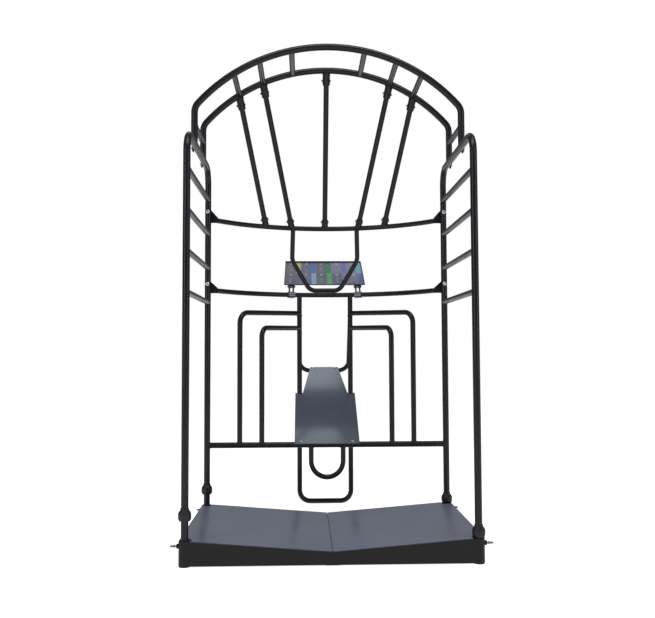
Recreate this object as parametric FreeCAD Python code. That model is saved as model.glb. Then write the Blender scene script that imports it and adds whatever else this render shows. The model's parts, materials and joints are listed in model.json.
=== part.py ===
"""Stretching cage: a free-standing steel frame for guided stretching exercises.

Millimetres. The origin is on the floor under the middle of the platform, +Z is up, and the
open front faces -Y. Each solid is one physical piece; nodes that hold several identical
pieces group them as separate solids.
"""
import FreeCAD, Part
import math
import os

V = FreeCAD.Vector
os.makedirs("parts", exist_ok=True)

# Platform and posts
post_x = 625.0
post_y = 367.0
post_r = 16.0
tube_wall = 2.0
foot_h = 5.0
sheet = 3.0
deck_mid_z = 60.0
deck_edge_z = 110.0
deck_half_x = 648.0
deck_half_y = 390.0
mat_inset = 5.0
rib_y = 130.0
seam_bolt_y = (-300.0, -100.0, 100.0, 300.0)
seam_bolt_z = 30.0

# Corner sockets, collars and clamp screws
socket_r = 25.0
socket_top = 109.7
collar_r = 28.0
collar_h = 56.0
collar_bore_r = 16.4
collar_bottom = {
    "front_left": 190.0,
    "front_right": 110.0,
    "back_left": 165.0,
    "back_right": 110.0,
}
screw_z = 85.0
screw_r = 5.0
screw_reach = {
    "front_left": 37.0,
    "front_right": 38.0,
    "back_left": 30.0,
    "back_right": 36.0,
}

# Side frames and their rungs
top_rail_z = 1866.0
front_bend = 95.0
back_bend = 85.0
rung_r = 13.75
rung_z = (1161.0, 1341.0, 1521.0, 1702.0)

# Overhead arches
arch_y = (-57.0, 253.0)
arch_radius = 835.0
arch_top = 2364.0
arch_leg_x = 638.0
arch_leg_bottom = 1890.0
arch_bend = 65.0
arch_rung_r = 14.0
arch_rung_x = (176.0, 330.0, 452.0)
leg_rung_z = 1980.0
tongue_bottom = 1850.0
tongue_thick = 5.5
tongue_width = 30.0

# Back rails, which bow away from the platform
bow_r = 13.5
upper_bow_z = 1600.0
upper_bow_apex = 678.0
upper_bow_radius = 751.8
lower_bow_z = 1226.0
lower_bow_apex = 755.0
lower_bow_radius = 672.0
low_rail_z = 415.0
low_rail_r = 15.0
tab_back = 388.0
tab_thick = 5.0
tab_inner_x = 572.0
upper_bolt_z = 1640.0
lower_bolt_z = 1258.0
bolt_r = 4.8
bolt_hole_r = 5.0

# Fan of bars between the back arch and the upper bow
fan_r = 14.0
fan_top_x = (-453.0, -330.0, 0.0, 330.0, 453.0)
fan_foot_x = (-331.0, -188.0, 0.0, 188.0, 331.0)
sleeve_bore_r = 14.15
upper_sleeve_r = 19.5
lower_sleeve_r = 18.0
pin_r = 3.5

# Loops and handles
chest_r = 13.0
chest_top_x = 181.0
chest_kink = (187.0, 1420.0)
chest_foot_x = 85.0
centre_x = 146.0
centre_r = 14.0
centre_bottom = 52.0
handle_r = 13.6
outer_handle_x = 456.0
outer_handle_z = (1107.0, 1120.0)
inner_handle_x = 341.0
inner_handle_z = (1026.0, 1035.0)
ramp_r = 13.0
ramp_top_z = 1115.0
ramp_bar = (957.0, 785.0)
ramp_bend = 65.0
toe_r = 13.0
toe_half = 83.5
toe_bottom = 247.0

# Sloped board
board_thick = 3.5
board_half = 170.0
board_neck_half = 127.0
board_top_half = 83.0
board_over = 14.0
board_hole_r = 17.5
board_screw_x = (134.0, 64.0)

# Chart tray and its two brackets
bracket_x = 193.0
rod_r = 5.0
rod_gap = 11.0
pivot_y = 785.0
pivot_z = 1278.0
tray_tilt = 27.0
tray_half = 235.0
tray_v = (-10.0, 358.0)
tray_w = 13.0
tray_sheet = 2.5
lip_h = 11.0
pivot_pin_r = 4.0


def save(name, shape):
    """Write one node."""
    shape.exportStep("parts/" + name + ".step")


def bar(start, end, radius):
    """Round bar between two points."""
    run = end - start
    return Part.makeCylinder(radius, run.Length, start, run)


def swept(edges, radius):
    """Round bar along a smooth path of lines and arcs."""
    first = edges[0]
    start = first.valueAt(first.FirstParameter)
    tangent = first.tangentAt(first.FirstParameter)
    ring = Part.Wire([Part.makeCircle(radius, start, tangent)])
    return Part.Wire(edges).makePipeShell([ring], True, False)


def bent_path(points, radii):
    """Straight runs through the points, each corner rounded by a tangent arc."""
    edges = []
    at = points[0]
    for before, corner, after, radius in zip(points, points[1:], points[2:], radii):
        back = (before - corner).normalize()
        ahead = (after - corner).normalize()
        half = back.getAngle(ahead) / 2
        setback = radius / math.tan(half)
        inward = (back + ahead).normalize()
        middle = corner + inward * (radius / math.sin(half) - radius)
        start = corner + back * setback
        end = corner + ahead * setback
        if (start - at).Length > 0.01:
            edges.append(Part.LineSegment(at, start).toShape())
        edges.append(Part.Arc(start, middle, end).toShape())
        at = end
    edges.append(Part.LineSegment(at, points[-1]).toShape())
    return edges


def hollow(edges, radius, wall=tube_wall):
    """Tube along a path: its outer envelope and the tube itself."""
    envelope = swept(edges, radius)
    return envelope, envelope.cut(swept(edges, radius - wall))


def coped(piece, *mates):
    """Cut a tube end to the surfaces that it is welded to."""
    for mate in mates:
        piece = piece.cut(mate)
    return max(piece.Solids, key=lambda solid: solid.Volume)


def mirrored(shape):
    """The same piece on the other side of the middle plane."""
    return shape.mirror(V(0, 0, 0), V(1, 0, 0))


def hexagon(base, direction, across, height):
    """Hexagonal prism for bolt heads and nuts."""
    corner_r = across / math.sqrt(3)
    turns = [math.radians(60 * k) for k in range(7)]
    outline = Part.makePolygon([V(corner_r * math.cos(a), corner_r * math.sin(a), 0) for a in turns])
    prism = Part.Face(outline).extrude(V(0, 0, height))
    prism.Placement = FreeCAD.Placement(base, FreeCAD.Rotation(V(0, 0, 1), direction))
    return prism


def bolt(seat, direction, across, head_h, radius, length):
    """Hexagon bolt whose head stands on its seat and whose shank runs the other way."""
    head = hexagon(seat, direction, across, head_h)
    shank = bar(seat, seat - direction * length, radius)
    return head.fuse(shank).removeSplitter()


def nut(seat, direction, across, height, radius):
    """Hexagon nut on a shank of the given radius."""
    return hexagon(seat, direction, across, height).cut(bar(seat, seat + direction * height, radius))


def deck_z(x, drop=0.0):
    """Height of the walking surface, less a vertical drop."""
    slope = (deck_edge_z - deck_mid_z) / post_x
    return deck_mid_z + slope * abs(x) - drop


def slab(x0, x1, y0, y1, bottom, top):
    """Block whose bottom and top are functions of x."""
    outline = [V(x0, y0, bottom(x0)), V(x1, y0, bottom(x1)), V(x1, y0, top(x1)), V(x0, y0, top(x0))]
    face = Part.Face(Part.makePolygon(outline + outline[:1]))
    return face.extrude(V(0, y1 - y0, 0))


def make_platform():
    """Two deck halves that fall towards the middle seam, on folded skirts and ribs."""
    corners = [V(sx * post_x, sy * post_y, 0) for sx in (-1, 1) for sy in (-1, 1)]
    sockets = [Part.makeCylinder(socket_r, 400, c) for c in corners]
    clear = [Part.makeCylinder(collar_r + 2, 400, c) for c in corners]

    def under_deck(x):
        return deck_z(x, 2 * sheet)

    def floor(x):
        return foot_h

    front = []
    back = []
    sides = []
    seams = []
    ribs = []
    seam_holes = [
        bar(V(-20, y, seam_bolt_z), V(20, y, seam_bolt_z), bolt_hole_r) for y in seam_bolt_y
    ]
    for side, name in ((-1, "left"), (1, "right")):
        near = side * 1.0
        far = side * deck_half_x
        x0 = min(near, far)
        x1 = max(near, far)
        deck = slab(x0, x1, -deck_half_y, deck_half_y, under_deck, lambda x: deck_z(x, sheet))
        save("deck_" + name, coped(deck, *sockets))
        mat = slab(
            x0 + mat_inset * (side < 0), x1 - mat_inset * (side > 0),
            mat_inset - deck_half_y, deck_half_y - mat_inset,
            lambda x: deck_z(x, sheet), deck_z,
        )
        save("mat_" + name, coped(mat, *clear))
        inner_y = deck_half_y - sheet
        x0 = min(0.0, far)
        x1 = max(0.0, far)
        front.append(coped(slab(x0, x1, -deck_half_y, -inner_y, floor, under_deck), *sockets))
        back.append(coped(slab(x0, x1, inner_y, deck_half_y, floor, under_deck), *sockets))
        skin = sorted((far, far - side * sheet))
        sides.append(coped(slab(*skin, -inner_y, inner_y, floor, under_deck), *sockets))
        wall = sorted((0.0, side * sheet))
        seams.append(coped(slab(*wall, -inner_y, inner_y, floor, under_deck), *seam_holes))
        span = sorted((side * sheet, far - side * sheet))
        for y in (-rib_y, rib_y):
            ribs.append(slab(*span, y - 2, y + 2, lambda x: 25.0, under_deck))
    save("skirt_front", Part.makeCompound(front))
    save("skirt_back", Part.makeCompound(back))
    save("skirt_sides", Part.makeCompound(sides))
    save("seam_walls", Part.makeCompound(seams))
    save("deck_ribs", Part.makeCompound(ribs))
    seam_bolts = []
    for y in seam_bolt_y:
        seat = V(sheet, y, seam_bolt_z)
        seam_bolts.append(bolt(seat, V(1, 0, 0), 17, 6.4, bolt_r, 2 * sheet + 9))
        seam_bolts.append(nut(V(-sheet, y, seam_bolt_z), V(-1, 0, 0), 17, 8, bolt_r))
    save("seam_bolts", Part.makeCompound(seam_bolts))
    pads = [Part.makeCylinder(socket_r - 1, foot_h, c) for c in corners]
    pads.append(Part.makeBox(60, 2 * (inner_y - 10), foot_h, V(-30, 10 - inner_y, 0)))
    save("floor_pads", Part.makeCompound(pads))


def make_corner(name, side, depth):
    """Socket, sliding collar and clamp screw at one corner."""
    base = V(side * post_x, depth * post_y, 0)
    out = V(side, 0, 0)
    up = V(0, 0, 1)
    shell = Part.makeCylinder(socket_r, socket_top - foot_h, base + up * foot_h)
    rim = [edge for edge in shell.Edges if edge.BoundBox.ZMin > socket_top - 1]
    shell = shell.makeFillet(2.5, [rim[0]])
    room = Part.makeCylinder(socket_r - sheet, socket_top - foot_h - 2 * sheet, base + up * (foot_h + sheet))
    post_hole = Part.makeCylinder(post_r, 200, base + up * (foot_h + sheet))
    boss = hexagon(base + out * (socket_r - 1) + up * screw_z, out, 19, 9)
    screw_axis = base + up * screw_z
    screw_hole = bar(screw_axis, screw_axis + out * 60, screw_r + 0.06)
    socket = shell.fuse(boss).cut(room).cut(post_hole).cut(screw_hole)
    save("socket_" + name, socket.Solids[0])

    bottom = collar_bottom[name]
    profile = [
        Part.LineSegment(V(collar_bore_r, 0, 0), V(25.5, 0, 0)),
        Part.Arc(V(25.5, 0, 0), V(27.6, 0, 6.5), V(collar_r, 0, 14)),
        Part.LineSegment(V(collar_r, 0, 14), V(collar_r, 0, 27)),
        Part.Arc(V(collar_r, 0, 27), V(25.0, 0, 44), V(18.5, 0, collar_h)),
        Part.LineSegment(V(18.5, 0, collar_h), V(collar_bore_r, 0, collar_h)),
        Part.LineSegment(V(collar_bore_r, 0, collar_h), V(collar_bore_r, 0, 0)),
    ]
    face = Part.Face(Part.Wire([line.toShape() for line in profile]))
    collar = face.revolve(V(0, 0, 0), V(0, 0, 1), 360)
    collar.translate(base + up * bottom)
    save("collar_" + name, collar)

    tip = screw_axis + out * (post_r + 0.3)
    end = screw_axis + out * (socket_r + screw_reach[name])
    shank = bar(tip, end, screw_r)
    lock = hexagon(end - out * 21, out, 13, 6)
    wing = Part.makeBox(11, 4, 26, V(-11, -2, -13))
    tall = [edge for edge in wing.Edges if abs(edge.tangentAt(0).y) > 0.9]
    wing = wing.makeFillet(4.5, tall)
    wing.Placement = FreeCAD.Placement(end, FreeCAD.Rotation(V(1, 0, 0), out))
    screw = shank.fuse([lock, wing]).removeSplitter()
    save("clamp_screw_" + name, screw)


def make_side(name, side):
    """One side frame bent from a single tube, with four rungs."""
    x = side * post_x
    foot_z = foot_h + sheet
    points = [
        V(x, -post_y, foot_z), V(x, -post_y, top_rail_z), V(x, post_y, top_rail_z), V(x, post_y, foot_z),
    ]
    envelope, tube = hollow(bent_path(points, (front_bend, back_bend)), post_r)
    for y in arch_y:
        tube = tube.cut(bar(V(x, y, top_rail_z), V(x + side * 40, y, top_rail_z), bolt_hole_r))
    for z in (upper_bolt_z, lower_bolt_z):
        tube = tube.cut(bar(V(x, post_y - 40, z), V(x, post_y + 40, z), bolt_hole_r))
    save("side_frame_" + name, tube.Solids[0])
    rungs = []
    for z in rung_z:
        _, rung = hollow([Part.LineSegment(V(x, -post_y, z), V(x, post_y, z)).toShape()], rung_r)
        rungs.append(coped(rung, envelope))
    save("rungs_" + name, Part.makeCompound(rungs))
    return envelope


def arch_z(x):
    """Centre height of the arch's crown at x."""
    return arch_top - arch_radius + math.sqrt(arch_radius ** 2 - x ** 2)


def arch_path(y):
    """Leg, bend, crown, bend, leg."""
    centre_z = arch_top - arch_radius
    bend_x = arch_leg_x - arch_bend
    bend_z = centre_z + math.sqrt((arch_radius - arch_bend) ** 2 - bend_x ** 2)
    stretch = arch_radius / (arch_radius - arch_bend)
    join = V(bend_x * stretch, y, centre_z + (bend_z - centre_z) * stretch)
    half_turn = math.atan2(bend_z - centre_z, bend_x) / 2
    middle = V(bend_x + arch_bend * math.cos(half_turn), y, bend_z + arch_bend * math.sin(half_turn))
    leg = V(arch_leg_x, y, bend_z)
    foot = V(arch_leg_x, y, arch_leg_bottom)

    def other(point):
        return V(-point.x, point.y, point.z)

    return [
        Part.LineSegment(other(foot), other(leg)).toShape(),
        Part.Arc(other(leg), other(middle), other(join)).toShape(),
        Part.Arc(other(join), V(0, y, arch_top), join).toShape(),
        Part.Arc(join, middle, leg).toShape(),
        Part.LineSegment(leg, foot).toShape(),
    ]


def make_arches():
    """Two overhead arches, the rungs between them, and the tongues that bolt them down."""
    envelopes = []
    tongues = []
    bolts = []
    for name, y in zip(("arch_front", "arch_back"), arch_y):
        envelope, tube = hollow(arch_path(y), post_r)
        envelopes.append(envelope)
        for side in (-1, 1):
            cap_base = V(side * arch_leg_x, y, arch_leg_bottom - 4)
            tube = tube.fuse(Part.makeCylinder(post_r, 4, cap_base))
            inner = post_x + post_r
            seat = V(side * (inner + tongue_thick), y, top_rail_z)
            low = V(min(side * inner, seat.x), y - tongue_width / 2, tongue_bottom)
            tongue = Part.makeBox(tongue_thick, tongue_width, arch_leg_bottom - 4 - tongue_bottom, low)
            ends = [e for e in tongue.Edges if e.BoundBox.XLength > 1 and e.BoundBox.ZMax < tongue_bottom + 1]
            tongue = tongue.makeFillet(8, ends)
            tongues.append(tongue.cut(bar(seat, seat - V(side * 20, 0, 0), bolt_hole_r)))
            bolts.append(bolt(seat, V(side, 0, 0), 17, 6.4, bolt_r, 18))
        save(name, tube.removeSplitter().Solids[0])
    save("arch_tongues", Part.makeCompound(tongues))
    save("arch_bolts", Part.makeCompound(bolts))
    spots = [(side * x, arch_z(x)) for x in arch_rung_x for side in (-1, 1)]
    spots += [(side * arch_leg_x, leg_rung_z) for side in (-1, 1)]
    rungs = []
    for x, z in spots:
        line = Part.LineSegment(V(x, arch_y[0], z), V(x, arch_y[1], z)).toShape()
        _, rung = hollow([line], arch_rung_r)
        rungs.append(coped(rung, *envelopes))
    save("arch_rungs", Part.makeCompound(rungs))
    return envelopes


def bow_point(x, z, apex, radius):
    """Point of a bowed rail's centre line at x."""
    return V(x, apex - radius + math.sqrt(radius ** 2 - x ** 2), z)


def make_bow(name, z, apex, radius):
    """Rail that bows backwards between the tabs on the back posts."""
    end_x = math.sqrt(radius ** 2 - (tab_back - 14 - apex + radius) ** 2)
    start = bow_point(-end_x, z, apex, radius)
    end = bow_point(end_x, z, apex, radius)
    envelope, tube = hollow([Part.Arc(start, V(0, apex, z), end).toShape()], bow_r)
    front_block = Part.makeBox(1600, 400, 100, V(-800, tab_back - 400, z - 50))
    save(name, coped(tube, front_block))
    return envelope


def make_rails(sides):
    """Two bowed rails bolted to the back posts, and a straight rail welded low between them."""
    upper = make_bow("rail_upper_bow", upper_bow_z, upper_bow_apex, upper_bow_radius)
    lower = make_bow("rail_lower_bow", lower_bow_z, lower_bow_apex, lower_bow_radius)
    tabs = []
    bolts = []
    for side in (-1, 1):
        for rail_z, bolt_z in ((upper_bow_z, upper_bolt_z), (lower_bow_z, lower_bolt_z)):
            outer = post_x + post_r
            outline = [
                V(tab_inner_x, tab_back, rail_z - bow_r - 2), V(outer, tab_back, rail_z - bow_r - 2),
                V(outer, tab_back, bolt_z + 15), V(outer - 28, tab_back, bolt_z + 15),
                V(tab_inner_x + 4, tab_back, rail_z + bow_r),
            ]
            tab = Part.Face(Part.makePolygon(outline + outline[:1])).extrude(V(0, -tab_thick, 0))
            if side < 0:
                tab = mirrored(tab)
            hole = bar(V(side * post_x, 300, bolt_z), V(side * post_x, 420, bolt_z), bolt_hole_r)
            tabs.append(tab.cut(hole))
            seat = V(side * post_x, post_y - post_r, bolt_z)
            bolts.append(bolt(seat, V(0, -1, 0), 17, 6.4, bolt_r, 2 * post_r + tab_thick + 11))
            bolts.append(nut(V(side * post_x, tab_back, bolt_z), V(0, 1, 0), 17, 8, bolt_r))
    save("rail_tabs", Part.makeCompound(tabs))
    save("rail_bolts", Part.makeCompound(bolts))
    line = Part.LineSegment(V(-post_x, post_y, low_rail_z), V(post_x, post_y, low_rail_z)).toShape()
    low_envelope, low_tube = hollow([line], low_rail_r)
    return upper, lower, low_envelope, coped(low_tube, *sides)


def make_fan(arch, bow):
    """Five bars that run from the back arch down to the upper bow, in sleeves at both ends."""
    uppers = []
    lowers = []
    pins = []
    for number, (top_x, foot_x) in enumerate(zip(fan_top_x, fan_foot_x), start=1):
        top = V(top_x, arch_y[1], arch_z(top_x))
        foot = bow_point(foot_x, upper_bow_z, upper_bow_apex, upper_bow_radius)
        along = (foot - top).normalize()
        across = (V(1, 0, 0) - along * along.x).normalize()
        line = Part.LineSegment(top + along * 27, foot - along * 26).toShape()
        _, tube = hollow([line], fan_r)
        ends = (
            (top, along, 10.0, 74.0, 52.0, upper_sleeve_r, arch, uppers),
            (foot, -along, 4.0, 54.0, 40.0, lower_sleeve_r, bow, lowers),
        )
        for at, way, near, far, pin_at, radius, mate, sleeves in ends:
            sleeve = bar(at + way * near, at + way * far, radius)
            sleeve = sleeve.cut(bar(at, at + way * (far + 10), sleeve_bore_r))
            pin_middle = at + way * pin_at
            pin_hole = bar(pin_middle - across * 40, pin_middle + across * 40, pin_r + 0.2)
            sleeves.append(coped(sleeve, mate, pin_hole))
            tube = tube.cut(pin_hole)
            pins.append(bolt(pin_middle + across * radius, across, 11, 4, pin_r, 2 * radius + 8))
            pins.append(nut(pin_middle - across * radius, -across, 11, 5, pin_r))
        save("fan_bar_%d" % number, tube.Solids[0])
    save("fan_upper_sleeves", Part.makeCompound(uppers))
    save("fan_lower_sleeves", Part.makeCompound(lowers))
    save("fan_pins", Part.makeCompound(pins))


def make_chest_loop(upper, lower):
    """Loop that hangs from the upper bow and stands on the lower one."""
    top = bow_point(chest_top_x, upper_bow_z, upper_bow_apex, upper_bow_radius)
    foot_z = lower_bow_z + bow_r + chest_r
    foot = bow_point(chest_foot_x, foot_z, lower_bow_apex, lower_bow_radius)
    kink_x, kink_z = chest_kink
    share = (top.z - kink_z) / (top.z - foot.z)
    kink = V(kink_x, top.y + (foot.y - top.y) * share, kink_z)
    right = [top, kink, foot]
    points = [V(-p.x, p.y, p.z) for p in right] + right[::-1]
    _, tube = hollow(bent_path(points, (90.0, 55.0, 55.0, 90.0)), chest_r)
    save("chest_loop", coped(tube, upper, lower))


def make_centre(lower, low_rail):
    """Centre hoop, the four handles and the ramp hoop; returns the ramp tube to be drilled."""
    back_y = bow_point(centre_x, 0, lower_bow_apex, lower_bow_radius).y
    top_z = lower_bow_z - 6
    points = [
        V(-centre_x, back_y, top_z), V(-centre_x, back_y, centre_bottom),
        V(centre_x, back_y, centre_bottom), V(centre_x, back_y, top_z),
    ]
    hoop, tube = hollow(bent_path(points, (60.0, 60.0)), centre_r)
    save("centre_hoop", coped(tube, lower))
    handles = []
    kinds = (("outer", outer_handle_x, outer_handle_z, 58.0), ("inner", inner_handle_x, inner_handle_z, 50.0))
    for kind, x, (bend_z, end_z), bend in kinds:
        points = [V(x, post_y, low_rail_z), V(x, post_y, bend_z), V(centre_x, back_y, end_z)]
        envelope, tube = hollow(bent_path(points, (bend,)), handle_r)
        handle = coped(tube, hoop, low_rail)
        save("handle_%s_right" % kind, handle)
        save("handle_%s_left" % kind, mirrored(handle))
        handles += [envelope, mirrored(envelope)]
    bar_y, bar_z = ramp_bar
    points = [
        V(-centre_x, back_y, ramp_top_z), V(-centre_x, bar_y, bar_z),
        V(centre_x, bar_y, bar_z), V(centre_x, back_y, ramp_top_z),
    ]
    _, ramp = hollow(bent_path(points, (ramp_bend, ramp_bend)), ramp_r)
    ramp = coped(ramp, hoop, *handles)
    points = [
        V(-toe_half, post_y, low_rail_z), V(-toe_half, post_y, toe_bottom),
        V(toe_half, post_y, toe_bottom), V(toe_half, post_y, low_rail_z),
    ]
    _, toe = hollow(bent_path(points, (toe_half, toe_half)), toe_r)
    save("toe_loop", coped(toe, low_rail))
    return back_y, ramp


def make_board(back_y, ramp, low_tube):
    """Sloped board screwed to the low rail in front and to the ramp hoop behind."""
    bar_y, bar_z = ramp_bar
    rise = bar_z - low_rail_z
    depth = bar_y - post_y
    length = math.hypot(depth, rise)
    slope = math.atan2(rise, depth) - math.asin((low_rail_r - ramp_r) / length)
    normal = V(0, -math.sin(slope), math.cos(slope))
    along = V(0, math.cos(slope), math.sin(slope))
    start = V(0, post_y, low_rail_z) + normal * low_rail_r
    neck_at = (back_y - start.y) / math.cos(slope) - 6
    half = [
        (board_half, -board_over), (board_half, neck_at),
        (board_neck_half, neck_at), (board_top_half, length + board_over),
    ]
    outline = [V(x, s, 0) for x, s in half] + [V(-x, s, 0) for x, s in half[::-1]]
    board = Part.Face(Part.makePolygon(outline + outline[:1])).extrude(V(0, 0, board_thick))
    board.Placement = FreeCAD.Placement(start, FreeCAD.Rotation(V(1, 0, 0), math.degrees(slope)))
    for side in (-1, 1):
        board = board.cut(Part.makeCylinder(board_hole_r, 600, V(side * centre_x, back_y, 400)))
    screws = []
    for x, at in zip(board_screw_x, (0.0, length)):
        for side in (-1, 1):
            seat = start + along * at + V(side * x, 0, 0) + normal * board_thick
            drill = bar(seat + normal, seat - normal * 12, 2.6)
            board = board.cut(drill)
            low_tube = low_tube.cut(drill)
            ramp = ramp.cut(drill)
            head = bar(seat, seat + normal * 3.2, 7.5)
            top_edge = [e for e in head.Edges if (e.CenterOfMass - seat).dot(normal) > 3]
            head = head.makeFillet(2.2, top_edge)
            screws.append(head.fuse(bar(seat, seat - normal * 8, 2.5)).removeSplitter())
    save("board", board.Solids[0])
    save("board_screws", Part.makeCompound(screws))
    save("rail_low", low_tube.Solids[0])
    save("ramp_hoop", ramp.Solids[0])


def make_chart(lower):
    """Tilting chart tray on two double-rod brackets clamped to the lower bow."""
    for side, name in ((-1, "left"), (1, "right")):
        x = side * bracket_x
        rail = bow_point(x, lower_bow_z, lower_bow_apex, lower_bow_radius)
        outward = V(x, rail.y - lower_bow_apex + lower_bow_radius, 0).normalize()
        tangent = V(outward.y, -outward.x, 0)
        clamp = bar(rail - tangent * 19, rail + tangent * 19, 19.0)
        eye = bar(V(x - 17, pivot_y, pivot_z), V(x + 17, pivot_y, pivot_z), 9.0)
        rods = [
            bar(V(x + gap, rail.y, lower_bow_z), V(x + gap, pivot_y, pivot_z), rod_r)
            for gap in (-rod_gap, rod_gap)
        ]
        bracket = clamp.fuse(rods + [eye]).removeSplitter()
        bore = bar(V(x - 40, pivot_y, pivot_z), V(x + 40, pivot_y, pivot_z), pivot_pin_r + 0.06)
        save("chart_bracket_" + name, coped(bracket, lower, bore))

    v0, v1 = tray_v
    turn = FreeCAD.Placement(V(0, pivot_y, pivot_z), FreeCAD.Rotation(V(1, 0, 0), tray_tilt))
    block = Part.makeBox(2 * tray_half, v1 - v0, tray_sheet + lip_h, V(-tray_half, v0, tray_w))
    inside = Part.makeBox(
        2 * (tray_half - tray_sheet), v1 - v0 - 2 * tray_sheet, lip_h + 1,
        V(tray_sheet - tray_half, v0 + tray_sheet, tray_w + tray_sheet),
    )
    low_front = Part.makeBox(
        2 * tray_half + 2, tray_sheet + 1, lip_h, V(-tray_half - 1, v0 - 1, tray_w + tray_sheet + 4),
    )
    tray = block.cut(inside).cut(low_front)
    pins = []
    for side in (-1, 1):
        for gap in (-20.5, 17.5):
            x = side * bracket_x + gap
            ear = Part.makeCylinder(9, 3, V(x, 0, 0), V(1, 0, 0))
            ear = ear.fuse(Part.makeBox(3, 18, tray_w + 0.5, V(x, -9, 0)))
            tray = tray.fuse(ear)
        left = V(side * bracket_x - 24, 0, 0)
        tray = tray.cut(Part.makeCylinder(pivot_pin_r, 48, left, V(1, 0, 0)))
        pins.append(Part.makeCylinder(pivot_pin_r, 48, left, V(1, 0, 0)))
    tray = tray.removeSplitter().Solids[0]
    tray.Placement = turn
    save("chart_tray", tray)
    pins = Part.makeCompound(pins)
    pins.Placement = turn
    save("chart_pins", pins)
    margin = tray_sheet + 1
    print_sheet = Part.makeBox(
        2 * (tray_half - margin), v1 - v0 - 2 * margin, 1.0,
        V(margin - tray_half, v0 + margin, tray_w + tray_sheet),
    )
    print_sheet.Placement = turn
    save("chart_sheet", print_sheet)


make_platform()
for depth_name, depth_sign in (("front", -1), ("back", 1)):
    for side_name, side_sign in (("left", -1), ("right", 1)):
        make_corner(depth_name + "_" + side_name, side_sign, depth_sign)
side_envelopes = [make_side("left", -1), make_side("right", 1)]
arch_envelopes = make_arches()
upper_bow, lower_bow, low_rail_envelope, low_rail_tube = make_rails(side_envelopes)
make_fan(arch_envelopes[1], upper_bow)
make_chest_loop(upper_bow, lower_bow)
centre_back_y, ramp_tube = make_centre(lower_bow, low_rail_envelope)
make_board(centre_back_y, ramp_tube, low_rail_tube)
make_chart(lower_bow)
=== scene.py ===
# %% [markdown]
# # A stretching cage, finished in Blender
# The cage is a black powder-coated tube frame on a low platform. Its frame, sizes and moving
# bodies come from an engineering model that stays fixed. This lesson gives that model its looks:
# welds, chamfered bolts, threaded clamp screws, turned collars, rolled mats and a printed chart.

# %% Load the fixed frame
import bpy, bmesh, json, math
from mathutils import Matrix, Vector


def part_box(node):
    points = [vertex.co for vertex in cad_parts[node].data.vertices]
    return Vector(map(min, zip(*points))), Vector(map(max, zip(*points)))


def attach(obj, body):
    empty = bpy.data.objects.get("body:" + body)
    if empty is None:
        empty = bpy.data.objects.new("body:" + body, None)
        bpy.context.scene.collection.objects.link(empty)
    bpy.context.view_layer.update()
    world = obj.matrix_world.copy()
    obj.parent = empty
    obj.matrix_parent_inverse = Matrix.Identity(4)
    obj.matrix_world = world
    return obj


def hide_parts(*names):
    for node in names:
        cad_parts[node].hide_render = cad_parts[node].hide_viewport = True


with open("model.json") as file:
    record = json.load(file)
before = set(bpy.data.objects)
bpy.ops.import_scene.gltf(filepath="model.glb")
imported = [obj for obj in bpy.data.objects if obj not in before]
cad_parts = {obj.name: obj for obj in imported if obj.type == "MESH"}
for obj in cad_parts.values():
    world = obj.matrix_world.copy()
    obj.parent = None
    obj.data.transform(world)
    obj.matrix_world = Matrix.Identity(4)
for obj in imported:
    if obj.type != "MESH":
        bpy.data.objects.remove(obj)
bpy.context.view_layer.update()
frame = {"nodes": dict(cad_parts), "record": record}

MM = 0.001

# %% [markdown]
# ## Reading places from the frame
# A node can hold several separate pieces, such as all bolts of the rails. Its triangles are welded
# together in a scratch mesh and then walked from face to face, so that each loose piece gives
# its own points. Everything that is added later takes its place from those points.

# %% Helpers that read the frame
def loose_pieces(node):
    """Point list of every separate solid in a node."""
    scratch = bmesh.new()
    scratch.from_mesh(frame["nodes"][node].data)
    bmesh.ops.remove_doubles(scratch, verts=scratch.verts, dist=1e-5)
    waiting = set(scratch.verts)
    groups = []
    while waiting:
        frontier = [waiting.pop()]
        group = []
        while frontier:
            point = frontier.pop()
            group.append(point.co.copy())
            for edge in point.link_edges:
                other = edge.other_vert(point)
                if other in waiting:
                    waiting.remove(other)
                    frontier.append(other)
        groups.append(group)
    scratch.free()
    return groups


def corners_of(points):
    """Lowest and highest corner of a point list."""
    low = Vector([min(p[k] for p in points) for k in range(3)])
    high = Vector([max(p[k] for p in points) for k in range(3)])
    return low, high


def middle_of(points):
    """Middle of a point list's box."""
    low, high = corners_of(points)
    return (low + high) / 2


print("pieces in rail_bolts:", len(loose_pieces("rail_bolts")))

# %% [markdown]
# ## Working by hand, in code
# Operators act on whatever is selected, and the imported nodes arrive selected. So each new piece
# starts from an empty selection, and each finished piece gets smooth shading and a body to ride on,
# while the plain nodes that it stands for are hidden.

# %% Helpers for new pieces
def nothing_selected():
    """Deselect everything."""
    bpy.ops.object.select_all(action="DESELECT")


def placed(name, data):
    """New object for a mesh, a curve, a light or a camera, linked to the scene."""
    piece = bpy.data.objects.new(name, data)
    bpy.context.scene.collection.objects.link(piece)
    return piece


def only(piece):
    """Make a piece the only selected and the active one."""
    nothing_selected()
    piece.select_set(True)
    bpy.context.view_layer.objects.active = piece


def settle(piece):
    """Put the object's place into its mesh, so that its object sits at the origin."""
    only(piece)
    bpy.ops.object.transform_apply(location=True, rotation=True, scale=True)
    return piece


def clean(piece, angle=35):
    """Merge doubles, point the faces outwards and shade by angle."""
    only(piece)
    bpy.ops.object.mode_set(mode="EDIT")
    bpy.ops.mesh.select_all(action="SELECT")
    bpy.ops.mesh.remove_doubles(threshold=1e-6)
    bpy.ops.mesh.normals_make_consistent(inside=False)
    bpy.ops.object.mode_set(mode="OBJECT")
    bpy.ops.object.shade_smooth_by_angle(angle=math.radians(angle))
    return piece


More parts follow.
